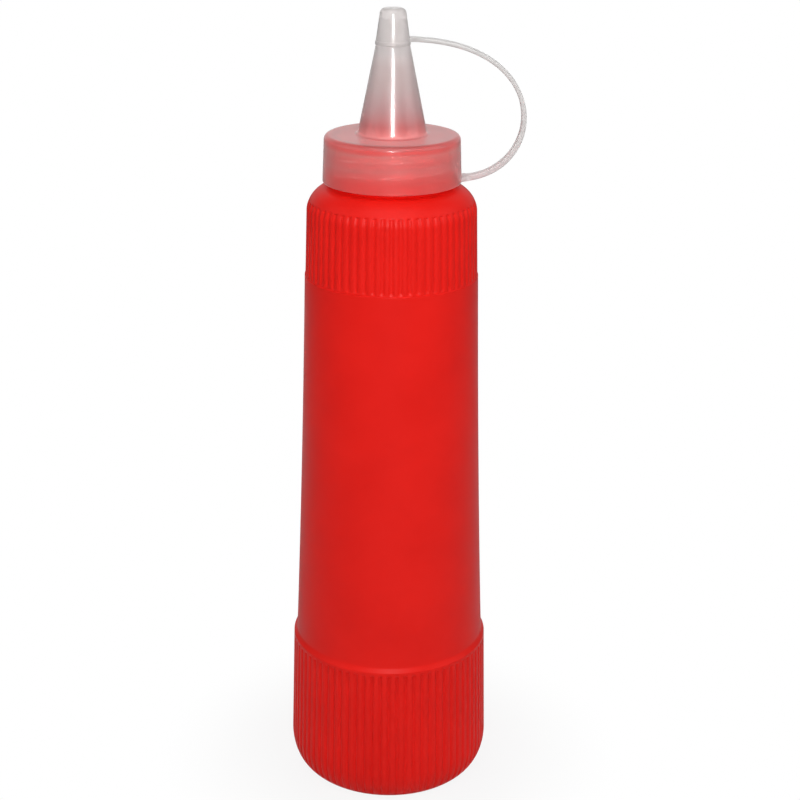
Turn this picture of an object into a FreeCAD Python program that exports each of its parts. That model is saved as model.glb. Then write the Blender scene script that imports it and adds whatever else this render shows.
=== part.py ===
import FreeCAD, Part
import math
import os

# A squeeze bottle for ketchup: a round bottle with two bands of flutes, a
# screw cap with a long conical nozzle, and a tip cap held by a moulded strap.
# Millimetres. The origin is on the bottle's axis, on the plane it stands on,
# with +Z up and the strap's loop towards +X.

# ---- driving dimensions: the bottle -------------------------------------
base_radius = 31.9          # widest place, just above the rounded foot
foot_reach = 5.3            # how far the foot's rounding comes in
foot_height = 10.0          # and how far it goes up
standing_ring_width = 3.4   # flat ring that the bottle stands on
recess_height = 3.0         # raised middle of the underside
recess_slope_width = 4.0

lower_band_height = 46.4    # top edge of the lower fluted band
lower_band_taper = 1.0      # radius lost from the foot to that edge
lower_band_edge_round = 0.9
ledge_inset = 1.0           # the body above it stands back by this much
ledge_rise = 0.8            # height over which it steps back

body_length = 118.9         # smooth part, from the ledge to the upper band
body_taper = 3.85           # radius lost along it
body_hollow = 0.3           # its flank is this much hollow in the middle

upper_band_length = 25.8    # up to the corner of the shoulder
upper_band_taper = 0.75
upper_band_inset = 0.2      # its crests stand back from the body
shoulder_round = 7.7
shoulder_slope = 9.0        # degrees, from the shoulder in to the neck

neck_radius = 17.6          # at the root of the screw thread
neck_length = 13.5          # from its root to the mouth's rim

# ---- driving dimensions: the flutes -------------------------------------
lower_flutes = 74
lower_flute_width = 1.3     # at the wall's surface
lower_flute_margin = 1.4    # plain edge left above the lower flutes
upper_flutes = 62
upper_flute_width = 1.5
upper_flute_margin = 6.6    # plain edge left above the upper flutes
flute_depth = 0.42
flute_side_slope = 45.0     # degrees from the wall
cutter_overshoot = 0.1      # how far the flutes' cutter stands out of the wall

# ---- driving dimensions: the screw cap ----------------------------------
thread_height = 1.1         # room for the bottle's thread
thread_clearance = 0.3
cap_wall = 1.5              # skirt, at its rim
cap_draft = 2.3             # degrees, the skirt narrows upwards
cap_top = 1.5               # thickness of the top plate
cap_edge_round = 1.5
cap_rim_gap = 1.6           # from the shoulder up to the skirt's rim

nozzle_base_radius = 10.2   # outside, where the cone leaves the top plate
nozzle_seat_radius = 4.92   # outside, where the tip cap sits
nozzle_length = 25.6        # from the top plate up to that seat
nozzle_wall = 1.1
nozzle_foot_round = 2.0
nozzle_funnel = 3.0         # length over which the bore narrows to the orifice
orifice_radius = 1.5
spout_length = 7.4          # plain spout that goes up inside the tip cap
spout_draft = 3.0           # degrees

# ---- driving dimensions: the tip cap and its strap ----------------------
tip_wall = 1.4              # at its rim
tip_clearance = 0.1         # round and above the spout
tip_crown = 2.8             # solid top above the spout
tip_draft = 8.1             # degrees
tip_edge_round = 1.5
tip_lip = 0.18              # its rim stands out from the nozzle by this much
tip_lip_height = 1.2

strap_width = 3.2
strap_thickness = 1.25      # at the tip cap
strap_foot_thickness = 1.65 # at the skirt
strap_tip_rise = 1.57       # middle of its upper root above the tip cap's rim
strap_skirt_rise = 0.95     # middle of its lower root above the skirt's rim
strap_upper_handle = 43.4   # how far its curve is drawn straight out of the tip cap
strap_lower_handle = 24.7   # and out of the skirt
strap_overlap = 0.6         # how far it is sunk into the tip cap's wall

# ---- radii and heights that follow from them ----------------------------
lower_band_top_radius = base_radius - lower_band_taper
body_foot_radius = lower_band_top_radius - ledge_inset
body_foot_height = lower_band_height + ledge_rise
body_top_radius = body_foot_radius - body_taper
body_top_height = body_foot_height + body_length
shoulder_edge_radius = body_top_radius - upper_band_inset - upper_band_taper
shoulder_edge_height = body_top_height + upper_band_length


def tan(degrees):
    return math.tan(math.radians(degrees))


def shoulder_height(radius):
    """Height of the shoulder's cone at a radius."""
    return shoulder_edge_height + (shoulder_edge_radius - radius) * tan(shoulder_slope)


mouth_height = shoulder_height(neck_radius) + neck_length

thread_room_radius = neck_radius + thread_height + thread_clearance
skirt_radius = thread_room_radius + cap_wall
skirt_rim = shoulder_height(skirt_radius) + cap_rim_gap
cap_top_height = mouth_height + cap_top
skirt_top_radius = skirt_radius - (cap_top_height - skirt_rim) * tan(cap_draft)

nozzle_seat = cap_top_height + nozzle_length
nozzle_slope = (nozzle_base_radius - nozzle_seat_radius) / nozzle_length
spout_radius = nozzle_seat_radius - tip_wall - tip_clearance
spout_end_radius = spout_radius - spout_length * tan(spout_draft)
spout_end = nozzle_seat + spout_length

tip_length = spout_length + tip_clearance + tip_crown
tip_top = nozzle_seat + tip_length


# ---- helpers ------------------------------------------------------------
def point(radius, height):
    return FreeCAD.Vector(radius, 0, height)


def straight(start, end):
    """The edge between two points, or none where roundings have used it up."""
    if (end - start).Length < 1e-6:
        return []
    return [Part.LineSegment(start, end).toShape()]


def rounded_path(corners):
    """Edges through corners given as (radius, height, rounding).

    A rounding gives way where the runs beside it are too short for it.
    """
    places = [point(*corner[:2]) for corner in corners]
    runs = [end - start for start, end in zip(places, places[1:])]
    half_angles = [(-before).getAngle(after) / 2 for before, after in zip(runs, runs[1:])]
    reaches = [corner[2] / math.tan(half) for corner, half in zip(corners[1:], half_angles)]
    reaches = [0] + reaches + [0]
    shares = [run.Length / max(run.Length, first + last)
              for run, first, last in zip(runs, reaches, reaches[1:])]

    edges = []
    start = places[0]
    for number, half in enumerate(half_angles, start=1):
        reach = reaches[number] * min(shares[number - 1], shares[number])
        corner = places[number]
        if reach > 0:
            back = (places[number - 1] - corner).normalize()
            onward = (places[number + 1] - corner).normalize()
            inward = (back + onward).normalize()
            to_arc = reach * (1 / math.cos(half) - math.tan(half))
            arc_start = corner + back * reach
            arc_end = corner + onward * reach
            edges += straight(start, arc_start)
            edges.append(Part.Arc(arc_start, corner + inward * to_arc, arc_end).toShape())
            start = arc_end
        else:
            edges += straight(start, corner)
            start = corner
    return edges + straight(start, places[-1])


def bezier(*poles):
    """One Bezier curve, from its first pole to its last."""
    spline = Part.BezierCurve()
    spline.setPoles(list(poles))
    return spline.toShape()


def turned(edges):
    """The solid that a closed half section sweeps about the axis."""
    section = Part.Face(Part.Wire(edges))
    return section.revolve(FreeCAD.Vector(0, 0, 0), FreeCAD.Vector(0, 0, 1), 360)


def round_about(cutter, count):
    """Copies of a cutter, evenly spaced about the axis, the first at the front (-Y)."""
    copies = []
    for number in range(count):
        turn = 360 * number / count - 90
        copy = cutter.copy()
        copy.rotate(FreeCAD.Vector(0, 0, 0), FreeCAD.Vector(0, 0, 1), turn)
        copies.append(copy)
    return copies


def flute_cutter(lower, upper, width):
    """A bar along the wall from lower to upper, sunk into it by the flute's depth.

    Its section is level and narrows inwards, so each end of a flute is level too.
    """
    floor = width / 2 - flute_depth / tan(flute_side_slope)
    mouth = width / 2 + cutter_overshoot / tan(flute_side_slope)
    section = Part.makePolygon([
        FreeCAD.Vector(-flute_depth, floor, 0),
        FreeCAD.Vector(cutter_overshoot, mouth, 0),
        FreeCAD.Vector(cutter_overshoot, -mouth, 0),
        FreeCAD.Vector(-flute_depth, -floor, 0),
        FreeCAD.Vector(-flute_depth, floor, 0),
    ])
    section.translate(lower)
    return Part.Face(section).extrude(upper - lower)


# ---- the pieces ---------------------------------------------------------
def make_bottle():
    ring_outer = base_radius - foot_reach
    ring_inner = ring_outer - standing_ring_width
    flank_pole = point((body_foot_radius + body_top_radius) / 2 - 2 * body_hollow,
                       (body_foot_height + body_top_height) / 2)
    body_foot = point(body_foot_radius, body_foot_height)
    body_top = point(body_top_radius, body_top_height)
    foot_top = point(base_radius, foot_height)

    # A quarter round whose handles are this share of its two reaches.
    quarter = 4 / 3 * (math.sqrt(2) - 1)
    foot = bezier(point(ring_outer, 0),
                  point(ring_outer + quarter * foot_reach, 0),
                  point(base_radius, foot_height * (1 - quarter)),
                  foot_top)
    lower_band = rounded_path([
        (base_radius, foot_height, 0),
        (lower_band_top_radius, lower_band_height, lower_band_edge_round),
        (body_foot_radius, body_foot_height, 0),
    ])
    flank = bezier(body_foot, flank_pole, body_top)
    shoulder = rounded_path([
        (body_top_radius, body_top_height, 0),
        (body_top_radius - upper_band_inset, body_top_height, 0),
        (shoulder_edge_radius, shoulder_edge_height, shoulder_round),
        (neck_radius, shoulder_height(neck_radius), 0),
        (neck_radius, mouth_height, 0),
        (0, mouth_height, 0),
    ])
    underside = rounded_path([
        (0, recess_height, 0),
        (ring_inner - recess_slope_width, recess_height, 0),
        (ring_inner, 0, 0),
        (ring_outer, 0, 0),
    ])
    axis = Part.LineSegment(point(0, mouth_height), point(0, recess_height)).toShape()
    blank = turned([foot] + lower_band + [flank] + shoulder + [axis] + underside)

    lower_flute_top = lower_band_height - lower_flute_margin
    wall_slope = lower_band_taper / (lower_band_height - foot_height)
    lower_foot = point(base_radius + foot_height * wall_slope, 0)
    lower_head = point(base_radius - (lower_flute_top - foot_height) * wall_slope,
                       lower_flute_top)
    lower = flute_cutter(lower_foot, lower_head, lower_flute_width)

    upper_foot = point(body_top_radius - upper_band_inset, body_top_height)
    plain_share = upper_flute_margin / upper_band_length
    upper_head = point(shoulder_edge_radius + upper_band_taper * plain_share,
                       shoulder_edge_height - upper_flute_margin)
    upper = flute_cutter(upper_foot, upper_head, upper_flute_width)

    cutters = round_about(lower, lower_flutes) + round_about(upper, upper_flutes)
    return blank.cut(cutters).removeSplitter()


def make_cap_blank():
    """The screw cap's outside, filled in down to its rim."""
    outside = rounded_path([
        (skirt_radius, skirt_rim, 0),
        (skirt_top_radius, cap_top_height, cap_edge_round),
        (nozzle_base_radius, cap_top_height, nozzle_foot_round),
        (nozzle_seat_radius, nozzle_seat, 0),
        (spout_radius, nozzle_seat, 0),
        (spout_end_radius, spout_end, 0),
        (0, spout_end, 0),
    ])
    axis = Part.LineSegment(point(0, spout_end), point(0, skirt_rim)).toShape()
    rim = Part.LineSegment(point(0, skirt_rim), point(skirt_radius, skirt_rim)).toShape()
    return turned(outside + [axis, rim])


def make_cap_hollow():
    """The room inside the screw cap: the threaded skirt, the cone and the orifice."""
    bore_shift = nozzle_wall * math.sqrt(1 + nozzle_slope ** 2)
    base_radius_inside = nozzle_base_radius + cap_top * nozzle_slope - bore_shift
    funnel_radius = nozzle_seat_radius + nozzle_funnel * nozzle_slope - bore_shift
    inside = rounded_path([
        (0, skirt_rim, 0),
        (thread_room_radius, skirt_rim, 0),
        (thread_room_radius, mouth_height, 0),
        (base_radius_inside, mouth_height, 0),
        (funnel_radius, nozzle_seat - nozzle_funnel, 0),
        (orifice_radius, nozzle_seat, 0),
        (orifice_radius, spout_end, 0),
        (0, spout_end, 0),
    ])
    axis = Part.LineSegment(point(0, spout_end), point(0, skirt_rim)).toShape()
    return turned(inside + [axis])


def make_tip():
    """The tip cap by itself, a blunt cone over the spout."""
    rim_radius = nozzle_seat_radius + tip_lip
    lip_top = nozzle_seat + tip_lip_height
    hollow_end_radius = spout_end_radius + tip_clearance
    shape = rounded_path([
        (rim_radius, nozzle_seat, 0),
        (rim_radius, lip_top, 0),
        (nozzle_seat_radius - (tip_length - tip_lip_height) * tan(tip_draft), tip_top,
         tip_edge_round),
        (0, tip_top, 0),
    ])
    inside = rounded_path([
        (0, spout_end + tip_clearance, 0),
        (hollow_end_radius, spout_end + tip_clearance, 0),
        (spout_radius + tip_clearance, nozzle_seat, 0),
        (rim_radius, nozzle_seat, 0),
    ])
    axis = Part.LineSegment(point(0, tip_top), point(0, spout_end + tip_clearance)).toShape()
    return turned(shape + [axis] + inside)


def make_strap():
    """The moulded strap, a flat ribbon bent in one loop from the tip cap to the skirt."""
    tip_height = nozzle_seat + strap_tip_rise
    skirt_height = skirt_rim + strap_skirt_rise
    edges = []
    for side in (0.5, -0.5):
        above = side * strap_thickness
        below = side * strap_foot_thickness
        # A shift of both handles by 4/3 moves the curve's middle by 1.
        edges.append(bezier(
            point(nozzle_seat_radius - strap_overlap, tip_height + above),
            point(nozzle_seat_radius + strap_upper_handle + above * 4 / 3,
                  tip_height + above),
            point(skirt_radius + strap_lower_handle + below * 4 / 3,
                  skirt_height - below),
            point(thread_room_radius, skirt_height - below)))
    outer, inner = edges
    ends = [Part.LineSegment(inner.Vertexes[place].Point, outer.Vertexes[place].Point).toShape()
            for place in (0, 1)]
    ribbon = Part.Face(Part.Wire([outer, ends[1], inner, ends[0]]))
    ribbon.translate(FreeCAD.Vector(0, -strap_width / 2, 0))
    return ribbon.extrude(FreeCAD.Vector(0, strap_width, 0))


cap_blank = make_cap_blank()
pieces = {
    "bottle": make_bottle(),
    "screw_cap": cap_blank.cut(make_cap_hollow()),
    "tip_cap": make_tip().fuse(make_strap().cut(cap_blank)),
}

os.makedirs("parts", exist_ok=True)
for name, shape in pieces.items():
    solid, = shape.Solids
    if not solid.isValid():
        raise ValueError(name + " isn't a valid solid")
    solid.exportStep("parts/" + name + ".step")
    box = solid.BoundBox
    print(name, "volume", round(solid.Volume), "box",
          [round(value, 2) for value in (box.XMin, box.YMin, box.ZMin,
                                         box.XMax, box.YMax, box.ZMax)])
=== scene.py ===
import math

import bmesh
import bpy
from mathutils import Euler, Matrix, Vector
from mathutils.geometry import interpolate_bezier


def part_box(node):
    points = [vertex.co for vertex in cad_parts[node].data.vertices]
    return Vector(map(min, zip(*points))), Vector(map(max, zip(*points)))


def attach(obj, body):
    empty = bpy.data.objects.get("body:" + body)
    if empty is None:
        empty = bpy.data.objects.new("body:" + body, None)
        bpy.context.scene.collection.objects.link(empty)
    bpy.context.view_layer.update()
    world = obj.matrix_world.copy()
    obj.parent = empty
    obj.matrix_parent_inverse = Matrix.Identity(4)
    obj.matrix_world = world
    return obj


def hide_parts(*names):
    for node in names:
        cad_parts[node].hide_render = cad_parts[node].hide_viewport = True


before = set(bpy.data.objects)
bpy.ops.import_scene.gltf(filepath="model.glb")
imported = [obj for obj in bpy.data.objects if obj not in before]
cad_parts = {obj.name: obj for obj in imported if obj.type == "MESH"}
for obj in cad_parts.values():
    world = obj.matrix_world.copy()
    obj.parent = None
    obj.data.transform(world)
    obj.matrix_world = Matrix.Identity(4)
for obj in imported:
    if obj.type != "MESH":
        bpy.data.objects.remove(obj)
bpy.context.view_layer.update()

# A ketchup squeeze bottle: a red blow-moulded bottle with two fluted bands, under a
# frosted screw cap with a long nozzle, and a tip cap on its strap. Metres, +Z up.
# The front, which the camera sees, looks along -Y, and the strap's loop is at +X.

MM = 0.001
AXIS = Vector((0, 0, 1))

# ---- sizes that the parts in model.glb give -----------------------------
base_radius = -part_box("bottle")[0].x
mouth_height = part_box("bottle")[1].z
skirt_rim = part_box("screw_cap")[0].z
spout_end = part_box("screw_cap")[1].z
tip_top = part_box("tip_cap")[1].z

# ---- the bottle's section -----------------------------------------------
foot_reach = 5.3 * MM         # how far the foot's rounding reaches in
foot_height = 10.0 * MM
ring_width = 3.4 * MM         # of the ring that the bottle stands on
ring_round = 0.8 * MM
recess_height = 3.0 * MM      # of the underside's middle above the ground
recess_slope = 4.0 * MM
recess_round = 2.5 * MM
band_top_radius = 30.9 * MM
band_top_height = 46.4 * MM
band_edge_round = 0.65 * MM
body_foot_radius = 29.9 * MM
body_foot_height = 47.2 * MM
ledge_foot_round = 1.4 * MM
ledge_blend = 0.5 * MM        # how much higher it blends into the flank
ledge_rim_rise = 1.6 * MM     # of its upper rim, where the flank is bridged to it
ledge_rim_inset = 0.006 * MM
body_top_radius = 26.05 * MM
body_top_height = 166.1 * MM
body_top_round = 0.15 * MM
body_hollow = 0.3 * MM
upper_foot_radius = 25.85 * MM
neck_radius = 17.6 * MM
shoulder_edge_radius = 25.1 * MM
shoulder_edge_height = 191.9 * MM
shoulder_round = 7.7 * MM
shoulder_slope = math.tan(math.radians(9))
shoulder_arc_reach = 0.88     # of its rounding, down to where the arc starts
neck_root = shoulder_edge_height + (shoulder_edge_radius - neck_radius) * shoulder_slope
neck_wall = 1.8 * MM
neck_edge_round = 0.5 * MM
neck_depth = 3.5 * MM         # how far down the open neck is modelled
neck_floor_round = 1.0 * MM

# ---- the flutes ---------------------------------------------------------
lower_flutes = 74
upper_flutes = 62
columns_per_flute = 10
lower_flute_width = 1.5 * MM
lower_flute_depth = 0.55 * MM
upper_flute_width = 1.7 * MM
upper_flute_depth = 0.36 * MM
flute_side = 0.62 * MM        # width of each sloped side
lower_flute_foot = 1.0 * MM   # the heights that the flutes reach
lower_flute_top = 45.4 * MM
upper_flute_top = 188.7 * MM
flute_run_out = 3.0 * MM      # height over which a lower flute fades into the foot
flute_end = 0.4 * MM          # height over which the other ends close
upper_flute_end = 1.2 * MM

# ---- the screw threads --------------------------------------------------
thread_pitch = 4.23 * MM
thread_height = 1.0 * MM
thread_width = 1.9 * MM
thread_flank = 0.6 * MM
thread_fade = 0.06            # of a turn, at each end of a thread
neck_thread_start = 197.7 * MM
neck_thread_turns = 1.6
cap_thread_height = 0.7 * MM
cap_thread_start = 195.75 * MM
cap_thread_turns = 2.1

# ---- the caps' sections -------------------------------------------------
skirt_radius = 20.5 * MM
skirt_top_radius = 19.943 * MM
thread_room = 19.0 * MM
thread_room_round = 0.6 * MM
rim_round = 0.35 * MM
cap_plate = 1.5 * MM
cap_edge_round = 1.5 * MM
nozzle_base_radius = 10.2 * MM
nozzle_base_bore = 9.39 * MM
nozzle_bore_round = 0.3 * MM
nozzle_foot_round = 1.2 * MM
nozzle_seat_radius = 4.92 * MM
nozzle_length = 25.6 * MM
nozzle_seat_round = 0.15 * MM
cap_top = mouth_height + cap_plate
nozzle_seat = cap_top + nozzle_length
nozzle_funnel = 3.0 * MM
funnel_radius = 4.42 * MM
orifice_radius = 1.5 * MM
orifice_round = 0.2 * MM
spout_radius = 3.42 * MM
spout_end_radius = 3.03 * MM
spout_end_round = 0.3 * MM
tip_clearance = 0.1 * MM
tip_mouth_round = 0.15 * MM
tip_lip = 0.18 * MM
tip_lip_height = 1.2 * MM
tip_lip_round = 0.15 * MM
tip_lip_blend = 0.1 * MM      # its corner with the cone above it
tip_top_radius = 3.6 * MM
tip_edge_round = 1.5 * MM

# ---- the strap ----------------------------------------------------------
strap_width = 3.2 * MM
strap_thickness = 1.25 * MM       # at the tip cap
strap_foot_thickness = 1.65 * MM  # at the skirt
strap_tip_rise = 1.57 * MM
strap_skirt_rise = 0.95 * MM
strap_upper_handle = 43.4 * MM
strap_lower_handle = 24.7 * MM
strap_bend_share = 3 / 4      # of its handles' reach, which the bend reaches
strap_overlap = 0.6 * MM
strap_sink = 0.25 * MM        # how far its ends reach into the walls
strap_edge_round = 0.35 * MM
strap_root_reach = 1.6 * MM   # over which a root flares
strap_root_flare = 0.45       # added to its width, as a share
strap_root_height = 5.0 * MM  # above the rim, below which the skirt's root lies

# ---- the mesh -----------------------------------------------------------
body_columns = 192
thread_columns = 200
tip_columns = 120
strap_steps = 72
thread_rows = 0.3 * MM        # between rows of vertices on a threaded piece
tip_rows = 1.5 * MM
lower_rows_start = 16.0 * MM  # height of the first row above the lower band's foot
joint_gap = 0.2 * MM          # between zones of the bottle that are bridged
flank_offset = 3 * MM         # from an end of the flank to the middle of its joint
flank_reach = 4 * MM          # round that middle, to the rims that the joint bridges
merge_distance = 0.0001 * MM
wall_tolerance = 0.01 * MM
sharp_angle = math.radians(40)
strap_corner_angle = math.radians(60)

# ---- the frosted plastic, by millimetres above the ground ---------------
lamp_pass = 0.62              # how much of a lamp gets through a frosted wall
# Its colours are its own milky grey with painted light and shade laid on by height:
# the painted red glow of the neck inside it, less and less towards the tip; painted light
# on the plate's rounded edge and where the tip cap's walls lie over the spout; painted
# shade on the rounding at the nozzle's foot and on the tip's crown.
cap_tone_and_painted_light = [
    (194, (0.85, 0.175, 0.165)),
    (197, (0.85, 0.18, 0.17)),
    (199, (0.85, 0.25, 0.24)),
    (200.5, (0.84, 0.33, 0.32)),
    (203, (0.84, 0.30, 0.29)),
    (205, (0.84, 0.38, 0.36)),
    (206, (0.87, 0.24, 0.23)),
    (207.6, (0.90, 0.18, 0.175)),
    (208.6, (0.94, 0.36, 0.35)),
    (cap_top / MM, (0.80, 0.19, 0.185)),
    (cap_top / MM + 0.1, (0.70, 0.25, 0.25)),
    (211.5, (0.71, 0.28, 0.28)),
    (213.5, (0.70, 0.41, 0.41)),
    (216, (0.70, 0.51, 0.51)),
    (222, (0.70, 0.60, 0.59)),
    (228, (0.72, 0.63, 0.62)),
    (232, (0.80, 0.75, 0.74)),
    (240.8, (0.79, 0.75, 0.74)),
    (242, (0.70, 0.66, 0.65)),
    (244, (0.71, 0.67, 0.66)),
]
# How much of it is clear rather than milky.
cap_clearness = [(194, 0.7), (207.4, 0.7), (208.6, 0.4), (211, 0.6), (216, 0.75), (226, 0.72),
                 (229, 0.55), (244, 0.6)]
# The strap's milky grey, with a painted red glow of the bottle at its foot by the skirt.
strap_tone_and_painted_glow = [(194, (0.66, 0.58, 0.58)), (206, (0.64, 0.61, 0.60)), (236, (0.62, 0.60, 0.59))]

# ---- the studio ---------------------------------------------------------
fill_strength = 0.11
gloss_share = 0.05            # of the floor's white that glossy rays get
room_gloss = 0.08             # how bright the room in front looks in shiny surfaces
backdrop_gloss = 0.5          # how bright the backdrop behind the bottle looks there
backdrop_start = 0.1          # a direction's share of +Y at which the backdrop starts
floor_size = 6
floor_white = 0.88            # how white the floor is at the bottle's foot
shadow_start = 0.03           # distances from the axis between which it whitens
shadow_end = 0.08
lamp_aim = 0.15               # height on the axis that the lamps point at
front_lamp_aim = 0.17

# ---- the camera ---------------------------------------------------------
camera_place = (0, -0.4615, 0.2984)
camera_down = math.radians(20.57)      # below level
camera_roll = math.radians(0.372)
camera_lens = 71.64
camera_shift = 0.01175


# ---- mesh helpers -------------------------------------------------------
def new_piece(name, bm, material, replaced=None):
    """A finished mesh as a piece of the object, smooth apart from its sharp edges."""
    mesh = bpy.data.meshes.new(name)
    bm.to_mesh(mesh)
    bm.free()
    mesh.shade_smooth()
    mesh.set_sharp_from_angle(angle=sharp_angle)
    mesh.materials.append(material)
    piece = bpy.data.objects.new(name, mesh)
    bpy.context.scene.collection.objects.link(piece)
    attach(piece, "root")
    if replaced:
        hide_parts(replaced)
    return piece


def outline(bm, corners, closed=False):
    """Half section through corners given as (radius, height, rounding, arc segments)."""
    verts = [bm.verts.new((corner[0], 0, corner[1])) for corner in corners]
    for start, end in zip(verts, verts[1:]):
        bm.edges.new((start, end))
    if closed:
        bm.edges.new((verts[-1], verts[0]))
    for vert, corner in zip(verts, corners):
        if len(corner) > 2:
            round_corner(bm, vert, *corner[2:])


def round_corner(bm, vert, radius, segments):
    """Rounds one corner of a half section with an arc of that radius."""
    runs = [(edge.other_vert(vert).co - vert.co).normalized() for edge in vert.link_edges]
    half = runs[0].angle(runs[1]) / 2
    bmesh.ops.bevel(bm, geom=[vert], offset=radius / math.tan(half), offset_type="OFFSET",
                    segments=segments, profile=0.5, affect="VERTICES", material=-1)


def chain(bm, places):
    """Vertices joined in a row through places."""
    verts = [bm.verts.new(place) for place in places]
    edges = [bm.edges.new(pair) for pair in zip(verts, verts[1:])]
    return edges


def split_long_edges(bm, longest):
    """Divides the long runs of a half section, so that what is raised there has room."""
    for edge in [edge for edge in bm.edges if edge.calc_length() > longest]:
        cuts = math.ceil(edge.calc_length() / longest) - 1
        bmesh.ops.subdivide_edges(bm, edges=[edge], cuts=cuts)


def turn(bm, steps):
    """Turns the half section about the axis, starting from the front."""
    bmesh.ops.rotate(bm, verts=bm.verts[:], cent=(0, 0, 0),
                     matrix=Euler((0, 0, -math.pi / 2)).to_matrix())
    bmesh.ops.spin(bm, geom=bm.verts[:] + bm.edges[:], cent=(0, 0, 0), axis=AXIS,
                   angle=math.tau, steps=steps, use_merge=True)
    bmesh.ops.remove_doubles(bm, verts=bm.verts[:], dist=merge_distance)


def ramp(value):
    """Eases from 0 to 1 as the value does."""
    value = min(max(value, 0), 1)
    return value * value * (3 - 2 * value)


def set_radius(vert, radius):
    """Moves a vertex straight in or out to that distance from the axis."""
    around = Vector((vert.co.x, vert.co.y, 0))
    vert.co += around.normalized() * (radius - around.length)


def turn_angle(vert):
    """Angle about the axis from the front towards +X, in turns."""
    return (math.atan2(vert.co.x, -vert.co.y) / math.tau) % 1


def press_flutes(verts, count, width, depth, foot_end, head_end):
    """Presses rounded flutes into a wall.

    Each end is given as (height, reach): the flute is closed at that height and has its
    full depth beyond the reach.
    """
    for vert in verts:
        radius = math.hypot(vert.co.x, vert.co.y)
        place = turn_angle(vert) * count
        across = abs(place - round(place)) / count * math.tau * radius
        valley = ramp((width / 2 - across) / flute_side)
        valley *= ramp((vert.co.z - foot_end[0]) / foot_end[1])
        valley *= ramp((head_end[0] - vert.co.z) / head_end[1])
        set_radius(vert, radius - depth * valley)


def raise_thread(verts, base, height, start, turns):
    """Raises a screw thread from the wall at radius base, inwards if height is below 0."""
    for vert in verts:
        radius = math.hypot(vert.co.x, vert.co.y)
        if abs(radius - base) > wall_tolerance:
            continue
        turned = turn_angle(vert)
        number = round((vert.co.z - start) / thread_pitch - turned)
        along = number + turned
        off_middle = abs(vert.co.z - start - along * thread_pitch)
        share = ramp((thread_width / 2 - off_middle) / thread_flank + 0.5)
        share *= ramp(along / thread_fade) * ramp((turns - along) / thread_fade)
        set_radius(vert, base + height * share)


# ---- the bottle ---------------------------------------------------------
def curve_points(start, first_handle, second_handle, end, count):
    """Places along a curve with two handles, each as (radius, height)."""
    poles = [Vector((radius, 0, height)) for radius, height in
             (start, first_handle, second_handle, end)]
    return [(place.x, place.z) for place in interpolate_bezier(*poles, count)]


def rows(foot, head, heights):
    """Places at those heights along a straight wall from foot to head."""
    slope = (head[0] - foot[0]) / (head[1] - foot[1])
    return [(foot[0] + slope * (height - foot[1]), height) for height in heights]


def spread(first, last, count):
    """Evenly spaced heights from first to last."""
    return [first + (last - first) * number / (count - 1) for number in range(count)]


def turned_zone(bm, corners, steps, closed=False, row_height=None):
    """Turns one more half section within bm, and gives back its vertices."""
    zone = bmesh.new()
    outline(zone, corners, closed)
    if row_height:
        split_long_edges(zone, row_height)
    turn(zone, steps)
    mesh = bpy.data.meshes.new("zone")
    zone.to_mesh(mesh)
    zone.free()
    known = len(bm.verts)
    bm.from_mesh(mesh)
    bpy.data.meshes.remove(mesh)
    bm.verts.ensure_lookup_table()
    return bm.verts[known:]


def join_zones(bm, radius, height, reach):
    """Bridges the two open rims that lie within reach of a place on the section."""
    rims = []
    for edge in bm.edges:
        place = edge.verts[0].co
        off = math.hypot(math.hypot(place.x, place.y) - radius, place.z - height)
        if edge.is_boundary and off < reach:
            rims.append(edge)
    bmesh.ops.bridge_loops(bm, edges=rims)


def bottle_underside(bm):
    """The raised middle and the ring that the bottle stands on."""
    ring_outer = base_radius - foot_reach
    ring_inner = ring_outer - ring_width
    turned_zone(bm, [
        (0, recess_height),
        (ring_inner - recess_slope, recess_height, recess_round, 5),
        (ring_inner, 0, ring_round, 4),
        (ring_outer - joint_gap, 0),
    ], body_columns)


def lower_band(bm):
    """The rounded foot, the fluted band above it and the ledge that the body stands on."""
    ring_outer = base_radius - foot_reach
    quarter = 4 / 3 * (math.sqrt(2) - 1)      # a handle's share of a quarter round's radius
    foot = (base_radius, foot_height)
    head = (band_top_radius, band_top_height)
    flute_closed = lower_flute_top - flute_end
    verts = turned_zone(bm, [
        *curve_points((ring_outer, 0), (ring_outer + quarter * foot_reach, 0),
                      (base_radius, foot_height * (1 - quarter)), foot, 22),
        *rows(foot, head, spread(lower_rows_start, flute_closed, 5)),
        *rows(foot, head, spread(flute_closed, lower_flute_top, 6)[1:]),
        (*head, band_edge_round, 6),
        (body_foot_radius, body_foot_height + ledge_blend, ledge_foot_round, 5),
        (body_foot_radius - ledge_rim_inset, body_foot_height + ledge_rim_rise),
    ], lower_flutes * columns_per_flute)
    press_flutes(verts, lower_flutes, lower_flute_width, lower_flute_depth,
                 (lower_flute_foot, flute_run_out), (lower_flute_top, flute_end))


def body(bm):
    """The smooth, slightly hollow flank between the two bands."""
    start = Vector((body_foot_radius, body_foot_height))
    end = Vector((body_top_radius, body_top_height))
    pole = (start + end) / 2 - Vector((2 * body_hollow, 0))
    places = curve_points(start, start.lerp(pole, 2 / 3), end.lerp(pole, 2 / 3), end, 28)
    turned_zone(bm, places[1:-1], body_columns)


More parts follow.
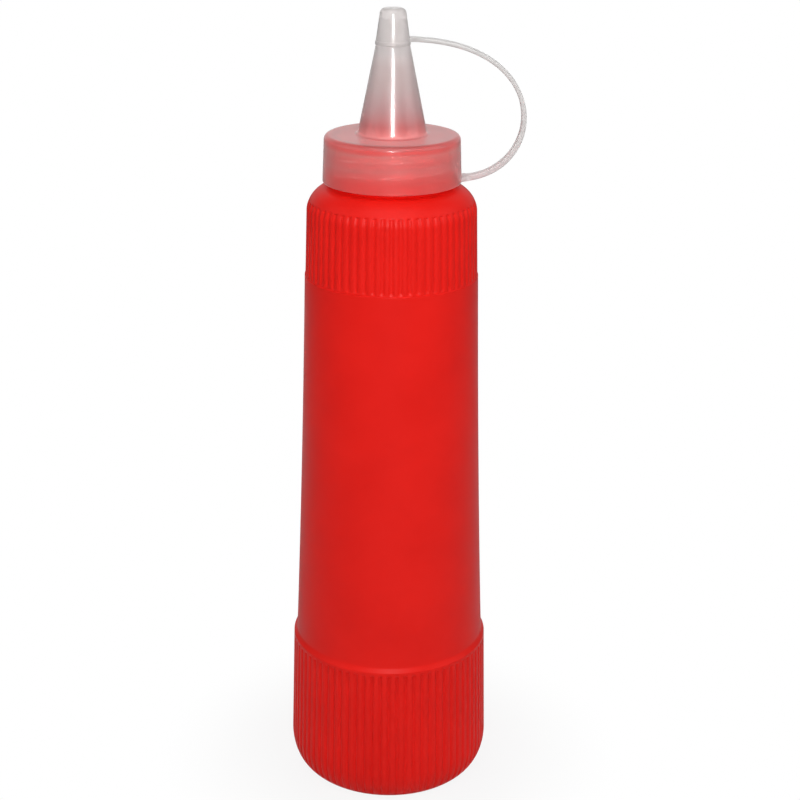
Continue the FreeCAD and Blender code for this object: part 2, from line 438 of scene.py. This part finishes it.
def upper_band(bm):
    """The fluted band under the shoulder, and the shoulder up to the neck."""
    foot = (upper_foot_radius, body_top_height)
    head = (shoulder_edge_radius, shoulder_edge_height)
    flute_open = body_top_height + upper_flute_end
    arc_start = shoulder_edge_height - shoulder_round * shoulder_arc_reach
    verts = turned_zone(bm, [
        (body_top_radius, body_top_height - 2 * joint_gap),
        (body_top_radius, body_top_height, body_top_round, 3),
        (*foot, body_top_round / 2, 2),
        *rows(foot, head, spread(body_top_height, flute_open, 9)[1:]),
        *rows(foot, head, spread(flute_open, arc_start, 4)[1:-1]),
        (*head, shoulder_round, 36),
        (neck_radius + joint_gap, neck_root),
    ], upper_flutes * columns_per_flute)
    press_flutes(verts, upper_flutes, upper_flute_width, upper_flute_depth,
                 (body_top_height, upper_flute_end), (upper_flute_top, flute_end))


def neck(bm):
    """The threaded neck, open at its mouth."""
    bore = neck_radius - neck_wall
    floor = mouth_height - neck_depth
    verts = turned_zone(bm, [
        (neck_radius, neck_root + joint_gap),
        (neck_radius, mouth_height, neck_edge_round, 4),
        (bore, mouth_height, neck_edge_round, 4),
        (bore, floor, neck_floor_round, 3),
        (0, floor),
    ], thread_columns, row_height=thread_rows)
    raise_thread(verts, neck_radius, thread_height, neck_thread_start, neck_thread_turns)


def make_bottle(material):
    """The red bottle: its zones, turned one by one and bridged into one skin."""
    bm = bmesh.new()
    bottle_underside(bm)
    lower_band(bm)
    body(bm)
    upper_band(bm)
    neck(bm)
    join_zones(bm, base_radius - foot_reach, 0, 2 * joint_gap)
    join_zones(bm, body_foot_radius, body_foot_height + flank_offset, flank_reach)
    join_zones(bm, body_top_radius, body_top_height - flank_offset, flank_reach)
    join_zones(bm, neck_radius, neck_root, 2 * joint_gap)
    bmesh.ops.recalc_face_normals(bm, faces=bm.faces[:])
    return new_piece("moulded_bottle", bm, material, replaced="bottle")


# ---- the screw cap ------------------------------------------------------
def make_screw_cap(material):
    """The threaded skirt, the plate and the long nozzle, in one moulding."""
    bm = bmesh.new()
    verts = turned_zone(bm, [
        (skirt_radius, skirt_rim, rim_round, 3),
        (skirt_top_radius, cap_top, cap_edge_round, 8),
        (nozzle_base_radius, cap_top, nozzle_foot_round, 5),
        (nozzle_seat_radius, nozzle_seat, nozzle_seat_round, 2),
        (spout_radius, nozzle_seat),
        (spout_end_radius, spout_end, spout_end_round, 3),
        (orifice_radius, spout_end, orifice_round, 2),
        (orifice_radius, nozzle_seat),
        (funnel_radius, nozzle_seat - nozzle_funnel),
        (nozzle_base_bore, mouth_height, nozzle_bore_round, 2),
        (thread_room, mouth_height, thread_room_round, 4),
        (thread_room, skirt_rim, rim_round, 3),
    ], thread_columns, closed=True, row_height=thread_rows)
    raise_thread(verts, thread_room, -cap_thread_height, cap_thread_start, cap_thread_turns)
    bmesh.ops.recalc_face_normals(bm, faces=bm.faces[:])
    return new_piece("frosted_cap", bm, material, replaced="screw_cap")


# ---- the tip cap and its strap ------------------------------------------
def make_tip_cap(material):
    """The blunt cone that closes the spout, with a small lip round its rim."""
    bm = bmesh.new()
    rim = nozzle_seat_radius + tip_lip
    turned_zone(bm, [
        (0, spout_end + tip_clearance),
        (spout_end_radius + tip_clearance, spout_end + tip_clearance, spout_end_round, 3),
        (spout_radius + tip_clearance, nozzle_seat, tip_mouth_round, 2),
        (rim, nozzle_seat, tip_lip_round, 3),
        (rim, nozzle_seat + tip_lip_height, tip_lip_round, 3),
        (nozzle_seat_radius, nozzle_seat + tip_lip_height, tip_lip_blend, 2),
        (tip_top_radius, tip_top, tip_edge_round, 8),
        (0, tip_top),
    ], tip_columns, row_height=tip_rows)
    bmesh.ops.recalc_face_normals(bm, faces=bm.faces[:])
    return new_piece("frosted_tip", bm, material, replaced="tip_cap")


def strap_edge(side):
    """Places along the strap's outer (0.5) or inner (-0.5) edge, from tip cap to skirt."""
    tip_height = nozzle_seat + strap_tip_rise + side * strap_thickness
    skirt_height = skirt_rim + strap_skirt_rise - side * strap_foot_thickness
    upper_handle = strap_upper_handle + side * strap_thickness / strap_bend_share
    lower_handle = strap_lower_handle + side * strap_foot_thickness / strap_bend_share
    places = curve_points((nozzle_seat_radius - strap_overlap, tip_height),
                          (nozzle_seat_radius + upper_handle, tip_height),
                          (skirt_radius + lower_handle, skirt_height),
                          (thread_room, skirt_height), strap_steps)
    edge = []
    for number, (x, z) in enumerate(places):
        wall = nozzle_seat_radius if number < strap_steps / 2 else skirt_radius
        edge.append((max(x, wall - strap_sink), -strap_width / 2, z))
    return edge


def flare_strap_roots(bm):
    """Widens the strap where it meets the tip cap and the skirt."""
    for vert in bm.verts:
        low = vert.co.z < skirt_rim + strap_root_height
        from_wall = abs(vert.co.x - (skirt_radius if low else nozzle_seat_radius))
        vert.co.y *= 1 + strap_root_flare * ramp(1 - from_wall / strap_root_reach)


def make_strap(material):
    """The moulded ribbon that loops from the tip cap down to the skirt."""
    bm = bmesh.new()
    edges = chain(bm, strap_edge(0.5)) + chain(bm, strap_edge(-0.5))
    bmesh.ops.bridge_loops(bm, edges=edges)
    flat = bmesh.ops.extrude_face_region(bm, geom=bm.faces[:], use_keep_orig=True)
    far = [item for item in flat["geom"] if isinstance(item, bmesh.types.BMVert)]
    bmesh.ops.translate(bm, verts=far, vec=(0, strap_width, 0))
    bmesh.ops.recalc_face_normals(bm, faces=bm.faces[:])
    flare_strap_roots(bm)
    corners = [edge for edge in bm.edges
               if len(edge.link_faces) == 2 and edge.calc_face_angle() > strap_corner_angle]
    bmesh.ops.bevel(bm, geom=corners, offset=strap_edge_round, offset_type="OFFSET",
                    segments=4, profile=0.5, affect="EDGES", material=-1)
    return new_piece("frosted_strap", bm, material)


# ---- materials ----------------------------------------------------------
def node_adder(tree):
    """A short way to add a node with its settings and its inputs' values, by name."""
    def add(kind, **settings):
        node = tree.nodes.new("ShaderNode" + kind)
        for key, value in settings.items():
            if hasattr(node, key):
                setattr(node, key, value)
            else:
                node.inputs[key.replace("_", " ")].default_value = value
        return node

    return add


def new_material(name):
    """A material with its shader, and short ways to add a node and to join sockets."""
    material = bpy.data.materials.new(name)
    material.use_nodes = True
    tree = material.node_tree
    return material, tree.nodes["Principled BSDF"], node_adder(tree), tree.links.new


def fit_range(add, link, value, start, end, low, high, way="LINEAR"):
    """Goes from low to high as the value goes from start to end."""
    fit = add("MapRange", interpolation_type=way, From_Min=start, From_Max=end,
              To_Min=low, To_Max=high)
    link(value, fit.inputs["Value"])
    return fit.outputs["Result"]


def noise(add, link, scale, detail, stretch=(1, 1, 1)):
    """Noise in metres, on the piece's own coordinates."""
    place = add("TexCoord")
    fit = add("Mapping")
    fit.inputs["Scale"].default_value = stretch
    grain = add("TexNoise", Scale=scale, Detail=detail)
    link(place.outputs["Object"], fit.inputs["Vector"])
    link(fit.outputs["Vector"], grain.inputs["Vector"])
    return grain.outputs["Fac"]


def spread_colour(add, link, factor, low, high):
    """A colour from low to high over the noise's middle range."""
    colours = add("ValToRGB")
    stops = colours.color_ramp.elements
    for stop, position, colour in zip(stops, (0.35, 0.65), (low, high)):
        stop.position = position
        stop.color = (*colour, 1)
    link(factor, colours.inputs["Fac"])
    return colours.outputs["Color"]


def spread_value(add, link, factor, low, high):
    """A value from low to high over the noise's middle range."""
    return fit_range(add, link, factor, 0.3, 0.7, low, high)


def height_shades(add, link, shades):
    """Colours by height, given as (millimetres above the ground, colour)."""
    lowest, highest = shades[0][0], shades[-1][0]
    place = add("TexCoord")
    parts = add("SeparateXYZ")
    link(place.outputs["Object"], parts.inputs[0])
    share = fit_range(add, link, parts.outputs["Z"], lowest * MM, highest * MM, 0, 1)
    colours = add("ValToRGB")
    stops = colours.color_ramp.elements
    stops[0].color = (*shades[0][1], 1)
    stops[1].color = (*shades[-1][1], 1)
    for height, colour in shades[1:-1]:
        stop = stops.new((height - lowest) / (highest - lowest))
        stop.color = (*colour, 1)
    link(share, colours.inputs["Fac"])
    return colours.outputs["Color"]


def bumps(add, link, layers):
    """Bumps from several (height, distance) layers, laid over one another."""
    normal = None
    for height, distance in layers:
        bump = add("Bump", Strength=1, Distance=distance)
        link(height, bump.inputs["Height"])
        if normal:
            link(normal, bump.inputs["Normal"])
        normal = bump.outputs["Normal"]
    return normal


def red_polyethylene():
    """Blow-moulded polyethylene, red right through, with a satin mould finish."""
    material, shader, add, link = new_material("red_polyethylene")
    cloud = noise(add, link, scale=45, detail=3)
    grain = noise(add, link, scale=1400, detail=2)
    wave = noise(add, link, scale=60, detail=1, stretch=(1, 1, 0.35))
    link(spread_colour(add, link, cloud, (0.745, 0.0095, 0.0058), (0.80, 0.0115, 0.0070)),
         shader.inputs["Base Color"])
    link(spread_value(add, link, cloud, 0.36, 0.44), shader.inputs["Roughness"])
    link(bumps(add, link, [(wave, 0.05 * MM), (grain, 0.006 * MM)]), shader.inputs["Normal"])
    shader.inputs["IOR"].default_value = 1.5
    shader.inputs["Specular IOR Level"].default_value = 0.15
    return material


def frosted_polyethylene(name, shades, clearness=None, gloss=0):
    """Natural polyethylene, milky and a little grey, with more or less gloss on its skin. Its
    colours by height (shades) also hold painted light and shade, chiefly the painted red glow
    of the bottle inside and beside it.

    Shadow rays pass it in part, so that lamps reach what is behind it.
    """
    material, shader, add, link = new_material(name)
    cloud = noise(add, link, scale=160, detail=3)
    grain = noise(add, link, scale=900, detail=2)
    tint = add("Mix", data_type="RGBA", blend_type="MULTIPLY")
    tint.inputs["Factor"].default_value = 1
    # Colours by height, with the painted glow, light and shade in them.
    link(height_shades(add, link, shades), tint.inputs["A"])
    link(spread_colour(add, link, cloud, (0.96, 0.96, 0.96), (1, 1, 1)), tint.inputs["B"])
    link(tint.outputs["Result"], shader.inputs["Base Color"])
    link(spread_value(add, link, cloud, 0.30, 0.38), shader.inputs["Roughness"])
    link(bumps(add, link, [(cloud, 0.02 * MM), (grain, 0.002 * MM)]), shader.inputs["Normal"])
    shader.inputs["IOR"].default_value = 1.45
    if clearness:
        greys = [(height, (level, level, level)) for height, level in clearness]
        link(height_shades(add, link, greys), shader.inputs["Transmission Weight"])
    shader.inputs["Coat Weight"].default_value = gloss
    shader.inputs["Coat Roughness"].default_value = 0.035
    shader.inputs["Sheen Weight"].default_value = 0.28
    shader.inputs["Sheen Roughness"].default_value = 0.4

    passed = add("BsdfTransparent", Color=(lamp_pass, lamp_pass, lamp_pass, 1))
    rays = add("LightPath")
    mix = add("MixShader")
    link(rays.outputs["Is Shadow Ray"], mix.inputs["Fac"])
    link(shader.outputs[0], mix.inputs[1])
    link(passed.outputs[0], mix.inputs[2])
    link(mix.outputs[0], material.node_tree.nodes["Material Output"].inputs["Surface"])
    return material


# ---- the studio ---------------------------------------------------------
def seen_rays(add, link, gloss_level=None):
    """1 for rays from the camera and through clear walls, a share for those off gloss."""
    rays = add("LightPath")
    gloss = add("Math", operation="MULTIPLY")
    link(rays.outputs["Is Glossy Ray"], gloss.inputs[0])
    gloss.inputs[1].default_value = gloss_share
    if gloss_level:
        link(gloss_level, gloss.inputs[1])
    total = rays.outputs["Is Camera Ray"]
    for share in (gloss.outputs[0], rays.outputs["Is Transmission Ray"]):
        larger = add("Math", operation="MAXIMUM")
        link(total, larger.inputs[0])
        link(share, larger.inputs[1])
        total = larger.outputs[0]
    return total


def set_world():
    """Even fill light, with the backdrop white and the room in front of it dark."""
    world = bpy.data.worlds.new("studio")
    bpy.context.scene.world = world
    world.use_nodes = True
    tree = world.node_tree
    add = node_adder(tree)
    link = tree.links.new
    direction = add("TexCoord")
    parts = add("SeparateXYZ")
    link(direction.outputs["Generated"], parts.inputs[0])
    backdrop = fit_range(add, link, parts.outputs["Y"], backdrop_start, 1, 0, backdrop_gloss,
                         "SMOOTHSTEP")
    rays = add("LightPath")
    fill = fit_range(add, link, rays.outputs["Is Glossy Ray"], 0, 1, fill_strength, room_gloss)
    light = add("Background", Color=(1, 1, 1, 1))
    link(fill, light.inputs["Strength"])
    white = add("Background", Color=(1, 1, 1, 1), Strength=1)
    mix = add("MixShader")
    link(seen_rays(add, link, backdrop), mix.inputs["Fac"])
    link(light.outputs[0], mix.inputs[1])
    link(white.outputs[0], mix.inputs[2])
    link(mix.outputs[0], tree.nodes["World Output"].inputs["Surface"])


def make_floor():
    """A white floor that holds the bottle's soft shadow close round it."""
    material, shader, add, link = new_material("studio_floor")
    shader.inputs["Base Color"].default_value = (0.6, 0.6, 0.6, 1)
    shader.inputs["Roughness"].default_value = 0.9
    shader.inputs["Specular IOR Level"].default_value = 0
    place = add("TexCoord")
    length = add("VectorMath", operation="LENGTH")
    link(place.outputs["Object"], length.inputs[0])
    whiteness = fit_range(add, link, length.outputs["Value"], shadow_start, shadow_end,
                          floor_white, 1, "SMOOTHSTEP")
    share = add("Math", operation="MULTIPLY")
    link(whiteness, share.inputs[0])
    link(seen_rays(add, link), share.inputs[1])
    white = add("Emission", Color=(1, 1, 1, 1), Strength=1)
    mix = add("MixShader")
    link(share.outputs[0], mix.inputs["Fac"])
    link(shader.outputs[0], mix.inputs[1])
    link(white.outputs[0], mix.inputs[2])
    output = material.node_tree.nodes["Material Output"]
    link(mix.outputs[0], output.inputs["Surface"])

    bm = bmesh.new()
    bmesh.ops.create_grid(bm, x_segments=8, y_segments=8, size=floor_size)
    mesh = bpy.data.meshes.new("floor")
    bm.to_mesh(mesh)
    bm.free()
    mesh.materials.append(material)
    floor = bpy.data.objects.new("floor", mesh)
    bpy.context.scene.collection.objects.link(floor)


def add_lamp(name, place, width, height, power, aim=lamp_aim, shines=True):
    """A rectangular lamp that points at the axis at the height of its aim.

    Glossy and clear surfaces show it unless shines is False.
    """
    data = bpy.data.lights.new(name, "AREA")
    data.shape = "RECTANGLE"
    data.size = width
    data.size_y = height
    data.energy = power
    lamp = bpy.data.objects.new(name, data)
    lamp.location = place
    facing = Vector((0, 0, aim)) - Vector(place)
    lamp.rotation_euler = facing.to_track_quat("-Z", "Y").to_euler()
    lamp.visible_camera = False
    lamp.visible_glossy = shines
    lamp.visible_transmission = shines
    bpy.context.scene.collection.objects.link(lamp)


def set_camera():
    """Looks down at the bottle from in front."""
    data = bpy.data.cameras.new("camera")
    data.lens = camera_lens
    data.shift_x = camera_shift
    camera = bpy.data.objects.new("camera", data)
    camera.location = camera_place
    look = Euler((math.radians(90) - camera_down, 0, 0)).to_matrix()
    roll = Euler((0, 0, camera_roll)).to_matrix()
    camera.rotation_euler = (look @ roll).to_euler()
    bpy.context.scene.collection.objects.link(camera)
    bpy.context.scene.camera = camera
    bpy.context.scene.view_settings.view_transform = "Standard"


red = red_polyethylene()
frosted = frosted_polyethylene("frosted_polyethylene", cap_tone_and_painted_light, cap_clearness, gloss=0.4)
strap_frosted = frosted_polyethylene("strap_polyethylene", strap_tone_and_painted_glow)
make_bottle(red)
make_screw_cap(frosted)
make_tip_cap(frosted)
make_strap(strap_frosted)
set_world()
make_floor()
add_lamp("front_light", (0.015, -0.5, 0.335), width=0.12, height=0.085, power=1.28,
         aim=front_lamp_aim)
add_lamp("top_light", (0, -0.25, 0.55), width=0.5, height=0.4, power=1.1)
add_lamp("right_light", (0.5, -0.12, 0.42), width=0.5, height=0.5, power=0.85)
add_lamp("left_light", (-0.5, -0.12, 0.42), width=0.5, height=0.5, power=0.55)
add_lamp("back_light", (-0.06, 0.55, 0.24), width=0.5, height=0.5, power=2.0, shines=False)
set_camera()
